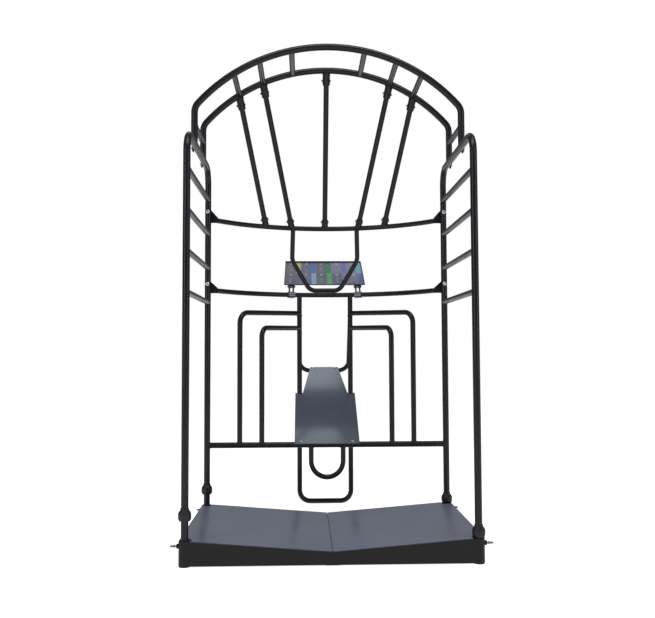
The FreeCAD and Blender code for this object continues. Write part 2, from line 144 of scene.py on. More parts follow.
def pick_faces(piece, test):
    """In edit mode, select only the faces whose centre and normal pass a test."""
    only(piece)
    bpy.ops.object.mode_set(mode="EDIT")
    bpy.ops.mesh.select_mode(type="FACE")
    bpy.ops.mesh.select_all(action="DESELECT")
    bpy.ops.object.mode_set(mode="OBJECT")
    for face in piece.data.polygons:
        face.select = bool(test(face.center, face.normal))
    bpy.ops.object.mode_set(mode="EDIT")


def joined(pieces, name):
    """Join pieces into one named object."""
    nothing_selected()
    for piece in pieces:
        piece.select_set(True)
    bpy.context.view_layer.objects.active = pieces[0]
    bpy.ops.object.join()
    pieces[0].name = name
    pieces[0].data.name = name
    return pieces[0]


def finished(piece, material, body, slot, *nodes):
    """Give a piece its material and its body, and hide the nodes it stands for. The slot is not used."""
    if material is not None:
        piece.data.materials.clear()
        piece.data.materials.append(material)
    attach(piece, body)
    if nodes:
        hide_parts(*nodes)
    print(piece.name, len(piece.data.polygons), "faces on", body)
    return piece


def turned_to(direction):
    """Rotation that turns +Z to a direction."""
    return Vector(direction).to_track_quat("Z", "Y").to_matrix().to_4x4()


print("helpers ready for", len(frame["nodes"]), "nodes")

# %% [markdown]
# ## Starting shapes
# Most pieces start as a cylinder or a box, added at its size and place, and the flat top of a
# cylinder is often picked next. Nearly all of them then need their sharp edges rounded, because a
# perfectly sharp edge catches no light. A Bevel modifier that only looks at sharp angles does that.

# %% Starting shapes and rounded edges
def cylinder(sides, radius, height):
    """Cylinder that stands on z = 0."""
    nothing_selected()
    bpy.ops.mesh.primitive_cylinder_add(
        vertices=sides, radius=radius, depth=height, location=(0, 0, height / 2),
    )
    return settle(bpy.context.object)


def block(size, centre=(0, 0, 0)):
    """Box of a size round a centre."""
    nothing_selected()
    bpy.ops.mesh.primitive_cube_add(size=1, location=centre)
    bpy.context.object.scale = size
    return settle(bpy.context.object)


def pick_top(piece):
    """In edit mode, select only the faces that look up."""
    pick_faces(piece, lambda centre, normal: normal.z > 0.9)


def apply_modifier(piece, kind, **settings):
    """Add a modifier with its settings and apply it."""
    only(piece)
    modifier = piece.modifiers.new(kind.lower(), kind)
    for setting, value in settings.items():
        setattr(modifier, setting, value)
    bpy.ops.object.modifier_apply(modifier=modifier.name)


def round_edges(piece, width, segments):
    """Bevel every edge that turns by more than 30 degrees."""
    sharp = math.radians(30)
    apply_modifier(piece, "BEVEL", width=width, segments=segments, limit_method="ANGLE", angle_limit=sharp)


print("starting shapes ready")

# %% [markdown]
# ## Camera
# The view stands a little left of the middle and well in front, a little below the middle of the
# frame's height, and looks very slightly up and to the right. It is set by its three angles, because
# a camera that is aimed at a point can't hold the small roll.

# %% Camera
VIEW_YAW = 0.0301
VIEW_PITCH = 0.0538
VIEW_ROLL = 0.0038
level = math.cos(VIEW_PITCH)
ahead = Vector((math.sin(VIEW_YAW) * level, math.cos(VIEW_YAW) * level, math.sin(VIEW_PITCH)))
level_right = Vector((math.cos(VIEW_YAW), -math.sin(VIEW_YAW), 0))
level_down = ahead.cross(level_right)
right = level_right * math.cos(VIEW_ROLL) + level_down * math.sin(VIEW_ROLL)
down = level_down * math.cos(VIEW_ROLL) - level_right * math.sin(VIEW_ROLL)
camera_data = bpy.data.cameras.new("camera")
camera_data.lens = 41.77
camera_data.sensor_width = 36
camera_data.clip_end = 60
camera = placed("camera", camera_data)
camera.matrix_world = Matrix((right, -down, -ahead)).transposed().to_4x4()
camera.location = (-0.116, -3.638, 0.909)
bpy.context.scene.camera = camera
print("camera at", [round(v, 3) for v in camera.location])

# %% [markdown]
# ## Floor and light
# A plain pale floor and a white room keep the black tubes readable. The room looks white to the
# camera but is dim in reflections, as in a studio whose walls are dark, so that the tubes stay
# black up to their edges. Tall soft boxes left and right put a long soft line down every tube, a
# wide one overhead lights the mats, and one above and behind is mirrored in the sloped board.

# %% Floor
def set_inputs(node, values):
    """Set the named inputs of a shader node."""
    for name, value in values.items():
        node.inputs[name].default_value = value


nothing_selected()
bpy.ops.mesh.primitive_plane_add(size=60, location=(0, 0, 0))
floor = bpy.context.object
floor.name = "floor"
floor_finish = bpy.data.materials.new("floor_white")
floor_finish.use_nodes = True
set_inputs(floor_finish.node_tree.nodes["Principled BSDF"], {
    "Base Color": (0.8, 0.8, 0.8, 1), "Roughness": 0.9, "Specular IOR Level": 0.0,
    "Emission Color": (1, 1, 1, 1), "Emission Strength": 0.8,
})
floor.data.materials.append(floor_finish)
print("floor:", floor.name)

# %% [markdown]
# The room is a world with two backgrounds. Light Path tells whether a ray comes straight from the
# camera, and a Mix Shader then picks the white background or the dim one.

# %% Room
def wire(tree, giver, output, taker, entry):
    """Link an output of one node to an input of another."""
    tree.links.new(giver.outputs[output], taker.inputs[entry])


world = bpy.data.worlds.new("studio")
bpy.context.scene.world = world
world.use_nodes = True
room = world.node_tree
seen = room.nodes["Background"]
set_inputs(seen, {"Color": (1.0, 1.0, 1.0, 1), "Strength": 1.0})
dim = room.nodes.new("ShaderNodeBackground")
set_inputs(dim, {"Color": (0.92, 0.93, 1.0, 1), "Strength": 0.27})
kind_of_ray = room.nodes.new("ShaderNodeLightPath")
choice = room.nodes.new("ShaderNodeMixShader")
wire(room, kind_of_ray, "Is Camera Ray", choice, "Fac")
wire(room, dim, "Background", choice, 1)
wire(room, seen, "Background", choice, 2)
wire(room, choice, "Shader", room.nodes["World Output"], "Surface")
bpy.context.scene.view_settings.view_transform = "Standard"
print("room:", world.name)

# %% [markdown]
# A soft box is an area light with a width and a height. It is aimed by turning its -Z axis to the
# point that it should light. All but the overhead one have a slightly cool colour.

# %% Soft boxes
def soft_box(name, place, target, width, height, power, colour=(1, 1, 1)):
    """Rectangular light that faces a target."""
    data = bpy.data.lights.new(name, "AREA")
    data.shape = "RECTANGLE"
    data.size = width
    data.size_y = height
    data.energy = power
    data.color = colour
    light = placed(name, data)
    light.location = place
    light.rotation_euler = (Vector(target) - Vector(place)).to_track_quat("-Z", "Y").to_euler()
    print(name, power, "W")


soft_box("left_box", (-3.4, -3.2, 2.4), (0, 0.2, 1.1), 0.9, 3.2, 62, (0.90, 0.90, 1.0))
soft_box("right_box", (3.6, -2.6, 2.2), (0, 0.2, 1.1), 0.9, 3.0, 42, (0.95, 0.95, 1.0))
soft_box("top_box", (0.2, -1.6, 4.8), (0, 0.0, 0), 3.0, 1.6, 90)
soft_box("board_box", (-0.45, 2.8, 4.6), (-0.45, 2.79, 0), 1.5, 2.1, 17, (0.80, 0.90, 1.0))

# %% [markdown]
# ## Surface effects as node groups
# Powder coat, rubber and moulded nylon all carry a fine skin and slow clouds of gloss. One group
# makes both from noise, at sizes given in the material, so that no surface looks sprayed with the
# same pattern as another.

# %% Node group: skin
NUMBER = "NodeSocketFloat"
VECTOR = "NodeSocketVector"


def open_group(name, inputs, outputs):
    """Node group from (name, kind, value) inputs and named number outputs, with its two ends."""
    tree = bpy.data.node_groups.new(name, "ShaderNodeTree")
    for label, kind, value in inputs:
        socket = tree.interface.new_socket(name=label, in_out="INPUT", socket_type=kind)
        if value is not None:
            socket.default_value = value
    for label in outputs:
        tree.interface.new_socket(name=label, in_out="OUTPUT", socket_type=NUMBER)
    return tree, tree.nodes.new("NodeGroupInput"), tree.nodes.new("NodeGroupOutput")


def make_skin_group():
    """Fine height and slow clouds from noise."""
    inputs = (("Vector", VECTOR, None), ("Fine Scale", NUMBER, 900.0), ("Cloud Scale", NUMBER, 6.0))
    tree, entry, leave = open_group("skin", inputs, ("Height", "Cloud"))
    fine = tree.nodes.new("ShaderNodeTexNoise")
    set_inputs(fine, {"Detail": 2.0})
    cloud = tree.nodes.new("ShaderNodeTexNoise")
    set_inputs(cloud, {"Detail": 4.0, "Roughness": 0.55})
    for noise, scale, result in ((fine, "Fine Scale", "Height"), (cloud, "Cloud Scale", "Cloud")):
        wire(tree, entry, "Vector", noise, "Vector")
        wire(tree, entry, scale, noise, "Scale")
        wire(tree, noise, "Fac", leave, result)
    return tree


skin_group = make_skin_group()
print("node group:", skin_group.name)

# %% [markdown]
# Dust settles on faces that look up. The second group reads how far a face looks up from the Z of
# its normal, and noise breaks the dust into patches so that it has no hard edge.

# %% Node group: settled dust
def make_dust_group():
    """Mask of dust on faces that look up."""
    inputs = (("Vector", VECTOR, None), ("Normal", VECTOR, None), ("Amount", NUMBER, 0.3))
    tree, entry, leave = open_group("settled_dust", inputs, ("Dust",))
    split = tree.nodes.new("ShaderNodeSeparateXYZ")
    up = tree.nodes.new("ShaderNodeMapRange")
    set_inputs(up, {"From Min": 0.55, "From Max": 1.0})
    patchy = tree.nodes.new("ShaderNodeTexNoise")
    set_inputs(patchy, {"Scale": 14.0, "Detail": 6.0})
    both = tree.nodes.new("ShaderNodeMath")
    both.operation = "MULTIPLY"
    scaled = tree.nodes.new("ShaderNodeMath")
    scaled.operation = "MULTIPLY"
    wire(tree, entry, "Normal", split, "Vector")
    wire(tree, split, "Z", up, "Value")
    wire(tree, entry, "Vector", patchy, "Vector")
    wire(tree, up, "Result", both, 0)
    wire(tree, patchy, "Fac", both, 1)
    wire(tree, both, "Value", scaled, 0)
    wire(tree, entry, "Amount", scaled, 1)
    wire(tree, scaled, "Value", leave, "Dust")
    return tree


dust_group = make_dust_group()
print("node group:", dust_group.name)

# %% [markdown]
# ## Finishes
# Every surface starts from the same recipe: two close colours mixed by the clouds, gloss that
# follows the clouds too, and a fine bump. Only the numbers differ from finish to finish.

# %% The shared recipe
def clouded(name, dark, light, fine, clouds, span, gloss, strength, bump):
    """Material from the skin group, with its tree, shader, coordinates and colour node."""
    material = bpy.data.materials.new(name)
    material.use_nodes = True
    tree = material.node_tree
    shader = tree.nodes["Principled BSDF"]
    place = tree.nodes.new("ShaderNodeTexCoord")
    skin = tree.nodes.new("ShaderNodeGroup")
    skin.node_tree = skin_group
    set_inputs(skin, {"Fine Scale": fine, "Cloud Scale": clouds})
    tint = tree.nodes.new("ShaderNodeMix")
    tint.data_type = "RGBA"
    set_inputs(tint, {"A": (*dark, 1), "B": (*light, 1)})
    sheen = tree.nodes.new("ShaderNodeMapRange")
    set_inputs(sheen, {"From Min": span[0], "From Max": span[1], "To Min": gloss[0], "To Max": gloss[1]})
    relief = tree.nodes.new("ShaderNodeBump")
    set_inputs(relief, {"Strength": strength, "Distance": bump})
    wire(tree, place, "Object", skin, "Vector")
    wire(tree, skin, "Cloud", tint, "Factor")
    wire(tree, tint, "Result", shader, "Base Color")
    wire(tree, skin, "Cloud", sheen, "Value")
    wire(tree, sheen, "Result", shader, "Roughness")
    wire(tree, skin, "Height", relief, "Height")
    wire(tree, relief, "Normal", shader, "Normal")
    return material, tree, shader, place, tint


print("recipe built on", skin_group.name)

# %% [markdown]
# Powder coat, nylon, rubber and laminate add a little dust between the mixed colour and the
# shader. Specular is low on the black parts, because a high one turns them grey at the edges.

# %% Coated and moulded finishes
DUST_COLOUR = (0.32, 0.32, 0.33, 1)


def coated(name, dark, light, dust, gloss, fine, bump=0.1 * MM, clouds=6.0, specular=0.5):
    """Finish from two colours, a dust amount, a gloss range, a grain size and a bump height."""
    parts = clouded(name, dark, light, fine, clouds, (0.3, 0.7), gloss, 0.35, bump)
    material, tree, shader, place, tint = parts
    shape = tree.nodes.new("ShaderNodeNewGeometry")
    settled = tree.nodes.new("ShaderNodeGroup")
    settled.node_tree = dust_group
    set_inputs(settled, {"Amount": dust})
    dusty = tree.nodes.new("ShaderNodeMix")
    dusty.data_type = "RGBA"
    set_inputs(dusty, {"B": DUST_COLOUR})
    wire(tree, place, "Object", settled, "Vector")
    wire(tree, shape, "Normal", settled, "Normal")
    wire(tree, tint, "Result", dusty, "A")
    wire(tree, settled, "Dust", dusty, "Factor")
    wire(tree, dusty, "Result", shader, "Base Color")
    set_inputs(shader, {"Specular IOR Level": specular})
    return material


powder = coated(
    "black_powder_coat", (0.003, 0.003, 0.004), (0.007, 0.006, 0.010),
    dust=0.01, gloss=(0.24, 0.34), fine=700, specular=0.25,
)
base_powder = coated(
    "base_powder_coat", (0.004, 0.004, 0.004), (0.007, 0.007, 0.007),
    dust=0.01, gloss=(0.4, 0.55), fine=700, specular=0.2,
)
weld_coat = coated(
    "painted_weld", (0.005, 0.005, 0.006), (0.010, 0.010, 0.012),
    dust=0.02, gloss=(0.28, 0.4), fine=500, specular=0.3,
)
nosing_coat = coated(
    "navy_nosing", (0.008, 0.008, 0.018), (0.014, 0.013, 0.028),
    dust=0.0, gloss=(0.4, 0.5), fine=600, bump=0.2 * MM,
)
nylon = coated(
    "collar_nylon", (0.005, 0.005, 0.006), (0.010, 0.010, 0.011),
    dust=0.02, gloss=(0.42, 0.55), fine=1300, bump=0.2 * MM, specular=0.3,
)
tray_black = coated(
    "tray_black", (0.014, 0.014, 0.028), (0.022, 0.022, 0.045),
    dust=0.05, gloss=(0.35, 0.5), fine=1100, bump=0.2 * MM,
)
pad_rubber = coated(
    "pad_rubber", (0.014, 0.014, 0.014), (0.024, 0.024, 0.024),
    dust=0.05, gloss=(0.6, 0.8), fine=900, bump=0.3 * MM,
)
print("coats and mouldings:", len(bpy.data.materials))

# %% [markdown]
# The mats and the board are the two large faces. Slower clouds suit them, and both carry a thin
# clear layer: a faint one on the rubber, and a strong one on the board's laminate.

# %% Rubber and laminate
mat_rubber = coated(
    "slate_rubber", (0.105, 0.138, 0.175), (0.170, 0.185, 0.235),
    dust=0.03, gloss=(0.22, 0.42), fine=420, bump=0.2 * MM, clouds=2.2,
)
laminate = coated(
    "board_laminate", (0.058, 0.070, 0.092), (0.078, 0.092, 0.118),
    dust=0.02, gloss=(0.12, 0.22), fine=260, clouds=3.0,
)
for finish, coat in ((mat_rubber, 0.1), (laminate, 0.5)):
    shader = finish.node_tree.nodes["Principled BSDF"]
    set_inputs(shader, {"Coat Weight": coat, "Coat Roughness": 0.12})
print("clear layers on", mat_rubber.name, "and", laminate.name)

# %% [markdown]
# Bolts, rods and screws are plated steel. Their metal is the same all over, so Metallic is set on
# the shader itself, and only colour, roughness and a fine grain vary with the noise.

# %% Plated steel
def plated(name, colour, worn, gloss, fine):
    """Bright metal with slow stains and a fine grain, dull where it is worn."""
    parts = clouded(name, worn, colour, fine, 60.0, (0, 1), (gloss[1], gloss[0]), 0.25, 0.1 * MM)
    material, _, shader, _, _ = parts
    set_inputs(shader, {"Metallic": 1.0})
    return material


zinc = plated("bright_zinc", (0.80, 0.81, 0.83), (0.55, 0.56, 0.60), (0.16, 0.34), 1500)
screw_steel = plated("dull_screw_steel", (0.42, 0.43, 0.44), (0.20, 0.20, 0.21), (0.3, 0.5), 1200)
rod_steel = plated("drawn_rod", (0.20, 0.20, 0.23), (0.12, 0.12, 0.15), (0.2, 0.35), 1400)
print("metals:", zinc.name, screw_steel.name, rod_steel.name)

# %% [markdown]
# ## Finishes for the nodes that stay
# Tubes, plates and pads already have their right shape, so they only change their material, by
# the slot that the record gives each of them.

# %% Materials on the frame's own nodes
slot_finish = {
    "frame_paint": powder, "base_paint": base_powder, "deck_mat": mat_rubber, "foot_rubber": pad_rubber,
    "collar_plastic": nylon, "screw_steel": screw_steel, "bolt_zinc": zinc, "board_laminate": laminate,
    "tray_plastic": tray_black, "chart_print": laminate, "bracket_steel": rod_steel,
}
slot_of = {part["node"]: part["material_slot"] for part in frame["record"]["subparts"]}
for name, node in frame["nodes"].items():
    node.data.materials.clear()
    node.data.materials.append(slot_finish[slot_of[name]])
print("nodes finished:", len(frame["nodes"]))

# %% [markdown]
# ## Welds
# Where one tube ends on another, the real joint is a rippled bead painted over with the frame. A
# bead is a closed curve that follows the meeting line of the two tubes. Each point of a ring
# round the branch slides along the branch until it lies on the host tube. The curve's own bevel
# gives it thickness, and a radius that swells and shrinks from point to point gives the ripples.

# %% Weld beads
BEAD_R = 1.9 * MM
BEAD_POINTS = 40
RIPPLE = 0.22


def bead_line(centre, host_axis, host_r, branch_axis, branch_r):
    """Meeting line of a branch tube with a host tube."""
    branch = Vector(branch_axis).normalized()
    host = Vector(host_axis).normalized()
    side = branch.orthogonal().normalized()
    other = branch.cross(side)
    along = branch - host * branch.dot(host)
    points = []
    for k in range(BEAD_POINTS):
        turn = 2 * math.pi * k / BEAD_POINTS
        ring = (side * math.cos(turn) + other * math.sin(turn)) * branch_r
        across = ring - host * ring.dot(host)
        a = along.length_squared
        b = across.dot(along)
        room = b * b - a * (across.length_squared - host_r * host_r)
        reach = (-b + math.sqrt(max(room, 0.0))) / a
        points.append(Vector(centre) + ring + branch * reach)
    return points


def flat_ring(centre, axis, radius):
    """Ring for a bead on a flat face."""
    axis = Vector(axis).normalized()
    side = axis.orthogonal().normalized()
    other = axis.cross(side)
    turns = [2 * math.pi * k / BEAD_POINTS for k in range(BEAD_POINTS)]
    return [Vector(centre) + (side * math.cos(t) + other * math.sin(t)) * radius for t in turns]


def weld_beads(name, lines, thickness=BEAD_R, material=weld_coat):
    """One piece with a rippled bead along every line."""
    data = bpy.data.curves.new(name, "CURVE")
    data.dimensions = "3D"
    data.bevel_depth = thickness
    data.bevel_resolution = 1
    for line in lines:
        spline = data.splines.new("POLY")
        spline.points.add(len(line) - 1)
        spline.use_cyclic_u = True
        for k, (point, spot) in enumerate(zip(spline.points, line)):
            point.co = (*spot, 1)
            point.radius = 1.0 + RIPPLE * math.sin(k * math.pi / 2)
    beads = placed(name, data)
    only(beads)
    bpy.ops.object.convert(target="MESH")
    beads = bpy.context.object
    bpy.ops.object.shade_smooth()
    return finished(beads, material, "frame", "frame_paint")

# %% [markdown]
# The main tubes give the places of nearly all joints. Their axes follow from the boxes of the
# frame's own nodes, and only tube and bend radii are written down.

# %% Places of the main tubes
def tube_box(node):
    """Lowest corner, highest corner and middle of a node."""
    low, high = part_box(node)
    return low, high, (low + high) / 2


post_r = 16 * MM
_, side_high, side_mid = tube_box("side_frame_right")
post_x = side_mid.x
post_y = side_high.y - post_r
_, arch_high, arch_mid = tube_box("arch_front")
back_arch_y = tube_box("arch_back")[2].y
front_arch_y = arch_mid.y
arch_radius = 835 * MM
arch_centre_z = arch_high.z - post_r - arch_radius
print("posts", round(post_x, 4), round(post_y, 4), "arches", round(front_arch_y, 4), round(back_arch_y, 4))

# %% [markdown]
# A rung of a side frame ends on two upright posts. A rung between the arches ends on a straight
# leg or, higher up, on the curve, where the host's direction is square to the arch's radius.

# %% Welds of the rungs
CURVE_START = 0.7
rung_lines = []
for node in ("rungs_left", "rungs_right"):
    for rung in loose_pieces(node):
        low, high = corners_of(rung)
        spot = (low + high) / 2
        rung_r = (high.z - low.z) / 2
        for way in (-1, 1):
            centre = (spot.x, way * post_y, spot.z)
            rung_lines.append(bead_line(centre, (0, 0, 1), post_r, (0, -way, 0), rung_r))
for rung in loose_pieces("arch_rungs"):
    low, high = corners_of(rung)
    spot = (low + high) / 2
    rung_r = (high.z - low.z) / 2
    on_leg = spot.z < arch_centre_z + arch_radius * CURVE_START
    host = (0, 0, 1) if on_leg else (spot.z - arch_centre_z, 0, -spot.x)
    for y, way in ((front_arch_y, 1), (back_arch_y, -1)):
        rung_lines.append(bead_line((spot.x, y, spot.z), host, post_r, (0, way, 0), rung_r))
weld_beads("rung_welds", rung_lines)

# %% [markdown]
# The bowed rails are arcs, so the direction of the host tube changes from joint to joint. It is
# worked out from the arc's own centre, which follows from the rail's depth and its known radius.

# %% Bowed rails
def bow(node, radius):
    """Height, tube radius, arc centre and arc radius of a bowed rail."""
    low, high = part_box(node)
    tube_r = (high.z - low.z) / 2
    apex = high.y - tube_r
    return {"z": (low.z + high.z) / 2, "r": tube_r, "centre": apex - radius, "radius": radius}


def on_bow(rail, x):
    """Point of the rail's centre line and its direction there."""
    depth = math.sqrt(rail["radius"] ** 2 - x ** 2)
    return Vector((x, rail["centre"] + depth, rail["z"])), Vector((depth, -x, 0))


upper_bow = bow("rail_upper_bow", 751.8 * MM)
lower_bow = bow("rail_lower_bow", 672 * MM)
print("bows at", round(upper_bow["z"], 3), "and", round(lower_bow["z"], 3))

# %% [markdown]
# The chest loop hangs from the upper bow, the centre hoop from the lower bow, and the handles run
# from the low rail to the hoop. The toe loop hangs below the low rail, and the ramp hoop leans
# out backwards from the centre hoop.

# %% Welds of the loops and handles
CHEST_R = 13 * MM
CHEST_TOP_X = 181 * MM
CHEST_LEAN = Vector((0, 0.27, -1))
HANDLES = ((456 * MM, 1120 * MM), (341 * MM, 1035 * MM))
HANDLE_R = 13.6 * MM
HANDLE_DROP = 11 * MM
TOE_X = 83.5 * MM
LOOP_R = 13 * MM
RAMP_TOP_Z = 1115 * MM
RAMP_BAR = Vector((0, 957 * MM, 785 * MM))
UP = Vector((0, 0, 1))
ALONG_X = Vector((1, 0, 0))
rail_low, rail_high, rail_mid = tube_box("rail_low")
rail_r = (rail_high.z - rail_low.z) / 2
_, hoop_high, hoop_mid = tube_box("centre_hoop")
hoop_r = 14 * MM
hoop_x = hoop_high.x - hoop_r
loop_lines = []
for way in (-1, 1):
    post = (way * post_x, post_y, rail_mid.z)
    loop_lines.append(bead_line(post, UP, post_r, (-way, 0, 0), rail_r))
    top, direction = on_bow(upper_bow, way * CHEST_TOP_X)
    loop_lines.append(bead_line(top, direction, upper_bow["r"], CHEST_LEAN, CHEST_R))
    top, direction = on_bow(lower_bow, way * hoop_x)
    loop_lines.append(bead_line(top, direction, lower_bow["r"], -UP, hoop_r))
    for x, end_z in HANDLES:
        foot = (way * x, post_y, rail_mid.z)
        loop_lines.append(bead_line(foot, ALONG_X, rail_r, UP, HANDLE_R))
        end = Vector((way * hoop_x, hoop_mid.y, end_z))
        bend = Vector((way * x, post_y, end_z - HANDLE_DROP))
        loop_lines.append(bead_line(end, UP, hoop_r, bend - end, HANDLE_R))
    foot = (way * TOE_X, post_y, rail_mid.z)
    loop_lines.append(bead_line(foot, ALONG_X, rail_r, -UP, LOOP_R))
    top = Vector((way * hoop_x, hoop_mid.y, RAMP_TOP_Z))
    run = Vector((0, RAMP_BAR.y - hoop_mid.y, RAMP_BAR.z - RAMP_TOP_Z))
    loop_lines.append(bead_line(top, UP, hoop_r, run, LOOP_R))
weld_beads("loop_welds", loop_lines)

# %% [markdown]
# The fan's sleeves are welded to the back arch above and to the upper bow below. Each bar's two
# ends are found from its own points, and the beads go round the sleeves at both ends.

# %% Welds of the fan
UPPER_SLEEVE_R = 19.5 * MM
LOWER_SLEEVE_R = 18 * MM
fan_ends = []
sleeve_lines = []
for number in range(1, 6):
    points = [v.co.copy() for v in frame["nodes"]["fan_bar_%d" % number].data.vertices]
    highest = max(p.z for p in points)
    lowest = min(p.z for p in points)
    upper = middle_of([p for p in points if p.z > highest - 30 * MM])
    lower = middle_of([p for p in points if p.z < lowest + 30 * MM])
    along = (lower - upper).normalized()
    fan_ends.append((upper, lower, along))
    share = (back_arch_y - upper.y) / along.y
    top = upper + along * share
    host = (top.z - arch_centre_z, 0, -top.x)
    sleeve_lines.append(bead_line(top, host, post_r, along, UPPER_SLEEVE_R))
    foot = lower + along * ((upper_bow["z"] - lower.z) / along.z)
    host = on_bow(upper_bow, foot.x)[1]
    sleeve_lines.append(bead_line(foot, host, upper_bow["r"], -along, LOWER_SLEEVE_R))
weld_beads("fan_welds", sleeve_lines)

# %% [markdown]
# ## Corner details
# Each post leaves its socket through a welded cap, so a bead runs round the post there. The arch
# legs end in caps with a tongue below, and their edge gets the same bead.

# %% Welds at the sockets and the arch feet
corner_lines = []
CORNERS = ("front_left", "front_right", "back_left", "back_right")
for corner in CORNERS:
    low, high, spot = tube_box("socket_" + corner)
    x = math.copysign(post_x, spot.x)
    y = math.copysign(post_y, spot.y)
    corner_lines.append(flat_ring((x, y, high.z - 1.2 * MM), (0, 0, 1), post_r + 0.6 * MM))
for tongue in loose_pieces("arch_tongues"):
    low, high = corners_of(tongue)
    leg_x = math.copysign(arch_high.x - post_r, low.x)
    ring = flat_ring((leg_x, (low.y + high.y) / 2, high.z + 4 * MM), (0, 0, 1), post_r)
    corner_lines.append(ring)
weld_beads("corner_welds", corner_lines, 1.2 * MM)

# %% [markdown]
# ## Bolts, nuts and washers
# A hexagon bolt's head isn't a plain prism: its top corners are cut by a cone. The head starts as
# a six-sided cylinder. Its top is inset and the outer ring is lowered, which leaves the sloped
# chamfer, and then the edges are bevelled.

# %% Hexagon head
CHAMFER = 0.8 * MM


def hex_piece(across, height):
    """Chamfered hexagon that stands on z = 0."""
    piece = cylinder(6, across / math.sqrt(3), height)
    pick_top(piece)
    bpy.ops.mesh.inset(thickness=1.3 * MM)
    bpy.ops.object.mode_set(mode="OBJECT")
    top = height - 1e-6
    for vertex in piece.data.vertices:
        if vertex.co.z > top and vertex.co.xy.length > across * 0.53:
            vertex.co.z -= CHAMFER
    round_edges(piece, 0.35 * MM, 2)
    return piece


print("head chamfer", round(CHAMFER / MM, 2), "mm")

# %% [markdown]
# The head bears on a washer, and a nut lets a short thread end look out. Only the part of the
# thread that shows is made: a disc is extruded step by step, and its ring shrinks and grows.

# %% Washer and thread end
THREAD_PITCH = 1.5 * MM


def washer(radius, thickness):
    """Bevelled disc on z = 0."""
    piece = cylinder(32, radius, thickness)
    round_edges(piece, 0.3 * MM, 2)
    return piece


def thread_stub(radius, start, end):
    """Short threaded end with a chamfered tip, as rings that step in and out."""
    nothing_selected()
    bpy.ops.mesh.primitive_circle_add(vertices=20, radius=radius, fill_type="NGON", location=(0, 0, start))
    piece = settle(bpy.context.object)
    bpy.ops.object.mode_set(mode="EDIT")
    bpy.ops.mesh.select_all(action="SELECT")
    turns = max(int((end - start) / THREAD_PITCH), 1)
    step = (end - start) / turns / 2
    for k in range(turns):
        for scale in (0.88, 1 / 0.88):
            bpy.ops.mesh.extrude_region_move(TRANSFORM_OT_translate={"value": (0, 0, step)})
            bpy.ops.transform.resize(value=(scale, scale, 1))
    bpy.ops.transform.resize(value=(0.8, 0.8, 1))
    bpy.ops.object.mode_set(mode="OBJECT")
    return piece


print("thread pitch", round(THREAD_PITCH / MM, 2), "mm")

# %% [markdown]
# One head and one nut are modelled as patterns that stand on z = 0. Each place gets a copy with
# its own mesh, moved by a matrix that seats the pattern there and turns it outwards.

# %% Patterns and their copies
WASHER_THICK = 1.2 * MM


def fastener(across, height, washer_r, stub):
    """Head or nut on its washer, with a thread end where stub is more than nothing."""
    head = hex_piece(across, height - WASHER_THICK)
    head.data.transform(Matrix.Translation((0, 0, WASHER_THICK)))
    pieces = [head, washer(washer_r, WASHER_THICK)]
    if stub > 0:
        pieces.append(thread_stub(across * 0.27, height * 0.5, height + stub))
    return clean(joined(pieces, "fastener_pattern"))


def seated(seat, direction):
    """Matrix that stands a pattern on a seat, with its +Z in a direction."""
    return Matrix.Translation(seat) @ turned_to(direction)


def copy_at(pattern, place, name):
    """Copy of a pattern with its own mesh, moved by a matrix."""
    copy = placed(name, pattern.data.copy())
    copy.data.name = name
    copy.data.transform(place)
    return copy


def copies_at(pattern, places, name):
    """Copies of a pattern, joined into one object."""
    return joined([copy_at(pattern, place, name) for place in places], name)


print("washers", round(WASHER_THICK / MM, 2), "mm thick")

# %% [markdown]
# The rail bolts run front to back through the back posts: their heads show on the front of each
# post, and their nuts sit behind the tabs. The arch bolts run inwards through the tongues.

# %% Rail bolts and arch bolts
HEX_ACROSS = 17 * MM
HEAD_TALL = 6.4 * MM
WASHER_R = 9.6 * MM
LONGEST_NUT = 20 * MM
head_pattern = fastener(HEX_ACROSS, HEAD_TALL, WASHER_R, 0)
nut_pattern = fastener(HEX_ACROSS, 8.0 * MM, WASHER_R, 2.6 * MM)
rail_heads = []
rail_nuts = []
for points in loose_pieces("rail_bolts"):
    low, high = corners_of(points)
    spot = (low + high) / 2
    if high.y - low.y > LONGEST_NUT:
        rail_heads.append(seated((spot.x, low.y + HEAD_TALL, spot.z), (0, -1, 0)))
    else:
        rail_nuts.append(seated((spot.x, low.y, spot.z), (0, 1, 0)))
heads = copies_at(head_pattern, rail_heads, "rail_bolt_heads")
nuts = copies_at(nut_pattern, rail_nuts, "rail_bolt_nuts")
rail_fasteners = clean(joined([heads, nuts], "rail_bolts_detailed"))
finished(rail_fasteners, zinc, "frame", "bolt_zinc", "rail_bolts")
arch_heads = []
for points in loose_pieces("arch_bolts"):
    low, high = corners_of(points)
    spot = (low + high) / 2
    side = math.copysign(1, spot.x)
    outer = max(abs(low.x), abs(high.x))
    arch_heads.append(seated((side * (outer - HEAD_TALL), spot.y, spot.z), (side, 0, 0)))
arch_fasteners = clean(copies_at(head_pattern, arch_heads, "arch_bolts_detailed"))
finished(arch_fasteners, zinc, "frame", "bolt_zinc", "arch_bolts")

# %% [markdown]
# The fan's cross bolts are smaller. Each is tilted with its bar: its axis is square to the bar,
# in the plane of the bar and the X axis. Its seat is on the bar's own line, moved out along that
# axis to where the frame's plain bolt or nut ends.

